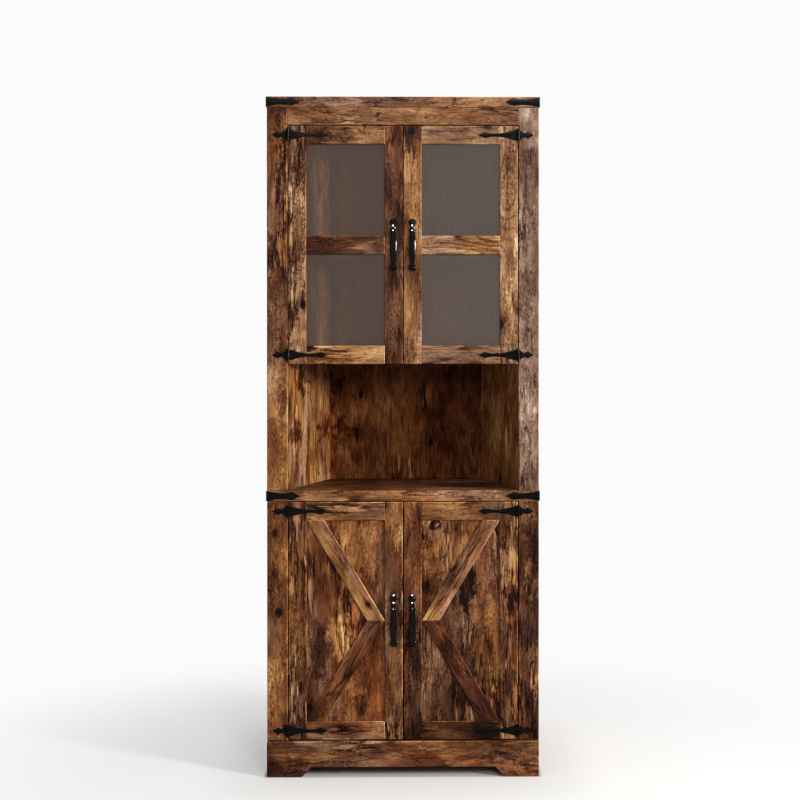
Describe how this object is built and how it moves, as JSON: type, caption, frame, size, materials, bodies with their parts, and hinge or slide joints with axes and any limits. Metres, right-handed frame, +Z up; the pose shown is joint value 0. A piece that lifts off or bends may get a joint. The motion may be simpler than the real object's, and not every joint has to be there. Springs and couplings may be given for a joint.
{
  "type": "pantry cabinet",
  "caption": "Tall farmhouse cabinet: glazed hutch doors over an open niche and a barn-door base, on a footed plinth, with black strap hinges and bow pulls.",
  "frame": {"origin": "on the floor, at the middle of the object's box in plan", "axes": "+Z up, +Y towards the back panel, +X to the right of someone facing the doors"},
  "size_m": [0.7246, 0.416, 1.8],
  "materials": {
    "face_frame_wood": "reclaimed-wood print, matt",
    "slab_wood": "reclaimed-wood print, matt",
    "side_wood": "reclaimed-wood print, matt",
    "back_wood": "reclaimed-wood print, matt",
    "shelf_wood": "reclaimed-wood print, matt",
    "door_frame_wood": "reclaimed-wood print, matt",
    "door_panel_wood": "reclaimed-wood print, matt",
    "hinge_iron": "black, satin to gloss",
    "bracket_iron": "black, satin to gloss",
    "pull_iron": "black, satin to gloss",
    "glass": "clear, polished"
  },
  "bodies": {
    "carcass": {"barn_door_left_bottom_hinge_leaf": "hinge_iron", "barn_door_left_top_hinge_leaf": "hinge_iron", "barn_door_right_bottom_hinge_leaf": "hinge_iron", "barn_door_right_top_hinge_leaf": "hinge_iron", "base_back": "back_wood", "base_bottom": "shelf_wood", "base_side_left": "side_wood", "base_side_right": "side_wood", "base_stile_left": "face_frame_wood", "base_stile_right": "face_frame_wood", "counter_board": "slab_wood", "counter_bracket_left": "bracket_iron", "counter_bracket_right": "bracket_iron", "fixed_shelf": "shelf_wood", "glass_door_left_bottom_hinge_leaf": "hinge_iron", "glass_door_left_top_hinge_leaf": "hinge_iron", "glass_door_right_bottom_hinge_leaf": "hinge_iron", "glass_door_right_top_hinge_leaf": "hinge_iron", "header_rail": "face_frame_wood", "hutch_back": "back_wood", "hutch_side_left": "side_wood", "hutch_side_right": "side_wood", "hutch_stile_left": "face_frame_wood", "hutch_stile_right": "face_frame_wood", "lower_shelf": "shelf_wood", "plinth_board": "face_frame_wood", "top_board": "slab_wood", "top_bracket_left": "bracket_iron", "top_bracket_right": "bracket_iron", "upper_shelf": "shelf_wood"},
    "glass_door_left": {"glass_door_left_bottom_hinge_strap": "hinge_iron", "glass_door_left_frame": "door_frame_wood", "glass_door_left_pane": "glass", "glass_door_left_pull": "pull_iron", "glass_door_left_top_hinge_strap": "hinge_iron"},
    "glass_door_right": {"glass_door_right_bottom_hinge_strap": "hinge_iron", "glass_door_right_frame": "door_frame_wood", "glass_door_right_pane": "glass", "glass_door_right_pull": "pull_iron", "glass_door_right_top_hinge_strap": "hinge_iron"},
    "barn_door_left": {"barn_door_left_bottom_hinge_strap": "hinge_iron", "barn_door_left_bottom_rail": "door_frame_wood", "barn_door_left_hinge_stile": "door_frame_wood", "barn_door_left_lower_brace": "door_frame_wood", "barn_door_left_meeting_stile": "door_frame_wood", "barn_door_left_pull": "pull_iron", "barn_door_left_slab": "door_panel_wood", "barn_door_left_top_hinge_strap": "hinge_iron", "barn_door_left_top_rail": "door_frame_wood", "barn_door_left_upper_brace": "door_frame_wood"},
    "barn_door_right": {"barn_door_right_bottom_hinge_strap": "hinge_iron", "barn_door_right_bottom_rail": "door_frame_wood", "barn_door_right_hinge_stile": "door_frame_wood", "barn_door_right_lower_brace": "door_frame_wood", "barn_door_right_meeting_stile": "door_frame_wood", "barn_door_right_pull": "pull_iron", "barn_door_right_slab": "door_panel_wood", "barn_door_right_top_hinge_strap": "hinge_iron", "barn_door_right_top_rail": "door_frame_wood", "barn_door_right_upper_brace": "door_frame_wood"}
  },
  "joints": [
    {"name": "glass_door_left_swing", "type": "hinge", "parent": "carcass", "child": "glass_door_left", "pos_m": [-0.30475, -0.1785, 1.408], "axis": [0, 0, -1], "range_deg": [0, 170]},
    {"name": "glass_door_right_swing", "type": "hinge", "parent": "carcass", "child": "glass_door_right", "pos_m": [0.30475, -0.1785, 1.408], "axis": [0, 0, 1], "range_deg": [0, 170]},
    {"name": "barn_door_left_swing", "type": "hinge", "parent": "carcass", "child": "barn_door_left", "pos_m": [-0.30475, -0.1785, 0.412], "axis": [0, 0, -1], "range_deg": [0, 170]},
    {"name": "barn_door_right_swing", "type": "hinge", "parent": "carcass", "child": "barn_door_right", "pos_m": [0.30475, -0.1785, 0.412], "axis": [0, 0, 1], "range_deg": [0, 170]}
  ]
}
